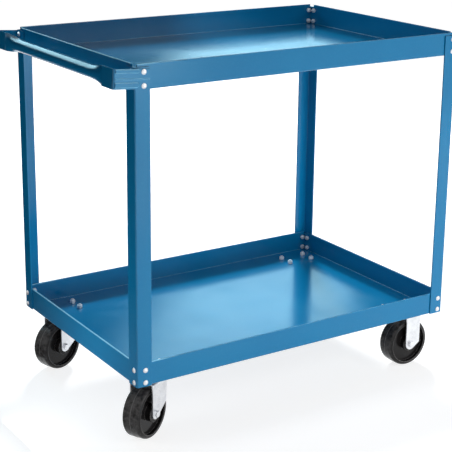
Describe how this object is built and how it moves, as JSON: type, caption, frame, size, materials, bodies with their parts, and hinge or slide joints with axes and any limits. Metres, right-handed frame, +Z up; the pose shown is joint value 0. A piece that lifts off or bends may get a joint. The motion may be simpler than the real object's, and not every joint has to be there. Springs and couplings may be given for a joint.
{
  "type": "shelf cart",
  "caption": "Steel shelf cart: lipped upper and lower trays bolted inside angle posts, formed push handle at one end, swivel casters below it and rigid casters at the other end.",
  "frame": {"origin": "middle of the whole cart's footprint, on the floor", "axes": "+X along the cart away from the push handle, +Y across it, +Z up"},
  "size_m": [0.972, 0.6232, 0.8975],
  "materials": {
    "blue_enamel": "semi-gloss blue enamel",
    "bright_zinc": "bright zinc plate",
    "bare_steel": "ground bearing steel",
    "black_rubber": "smooth hard black rubber with a mould line round the tread"
  },
  "bodies": {
    "cart_frame": {"top_shelf": "blue_enamel", "lower_shelf": "blue_enamel", "front_left_post": "blue_enamel", "front_right_post": "blue_enamel", "back_right_post": "blue_enamel", "back_left_post": "blue_enamel", "push_handle": "blue_enamel", "top_shelf_bolts": "bright_zinc", "top_shelf_nuts": "bright_zinc", "handle_bolts": "bright_zinc", "handle_nuts": "bright_zinc", "lower_shelf_bolts": "bright_zinc", "lower_shelf_nuts": "bright_zinc", "caster_bolts": "bright_zinc", "caster_nuts": "bright_zinc", "front_left_caster_plate": "bright_zinc", "front_left_kingpin": "bright_zinc", "front_left_kingpin_nut": "bright_zinc", "front_right_fork": "bright_zinc", "front_right_axle_bolt": "bright_zinc", "front_right_axle_nut": "bright_zinc", "front_right_axle_bush": "bare_steel", "back_left_caster_plate": "bright_zinc", "back_left_kingpin": "bright_zinc", "back_left_kingpin_nut": "bright_zinc", "back_right_fork": "bright_zinc", "back_right_axle_bolt": "bright_zinc", "back_right_axle_nut": "bright_zinc", "back_right_axle_bush": "bare_steel"},
    "front_left_swivel": {"front_left_fork": "bright_zinc", "front_left_swivel_balls": "bare_steel", "front_left_axle_bolt": "bright_zinc", "front_left_axle_nut": "bright_zinc", "front_left_axle_bush": "bare_steel"},
    "front_left_roller": {"front_left_wheel": "black_rubber", "front_left_wheel_bearing": "bare_steel"},
    "front_right_roller": {"front_right_wheel": "black_rubber", "front_right_wheel_bearing": "bare_steel"},
    "back_left_swivel": {"back_left_fork": "bright_zinc", "back_left_swivel_balls": "bare_steel", "back_left_axle_bolt": "bright_zinc", "back_left_axle_nut": "bright_zinc", "back_left_axle_bush": "bare_steel"},
    "back_left_roller": {"back_left_wheel": "black_rubber", "back_left_wheel_bearing": "bare_steel"},
    "back_right_roller": {"back_right_wheel": "black_rubber", "back_right_wheel_bearing": "bare_steel"}
  },
  "joints": [
    {"name": "front_left_swivel_turn", "type": "hinge", "parent": "cart_frame", "child": "front_left_swivel", "pos_m": [-0.35861, -0.2328, 0.15], "axis": [0, 0, 1], "continuous": true},
    {"name": "front_left_wheel_spin", "type": "hinge", "parent": "front_left_swivel", "child": "front_left_roller", "pos_m": [-0.38068, -0.24454, 0.0635], "axis": [-0.4695, 0.8829, 0], "continuous": true},
    {"name": "front_right_wheel_spin", "type": "hinge", "parent": "cart_frame", "child": "front_right_roller", "pos_m": [0.4178, -0.2328, 0.0635], "axis": [0, 1, 0], "continuous": true},
    {"name": "back_left_swivel_turn", "type": "hinge", "parent": "cart_frame", "child": "back_left_swivel", "pos_m": [-0.35861, 0.2328, 0.15], "axis": [0, 0, 1], "continuous": true},
    {"name": "back_left_wheel_spin", "type": "hinge", "parent": "back_left_swivel", "child": "back_left_roller", "pos_m": [-0.38238, 0.22507, 0.0635], "axis": [-0.309, 0.9511, 0], "continuous": true},
    {"name": "back_right_wheel_spin", "type": "hinge", "parent": "cart_frame", "child": "back_right_roller", "pos_m": [0.4178, 0.2328, 0.0635], "axis": [0, 1, 0], "continuous": true}
  ]
}
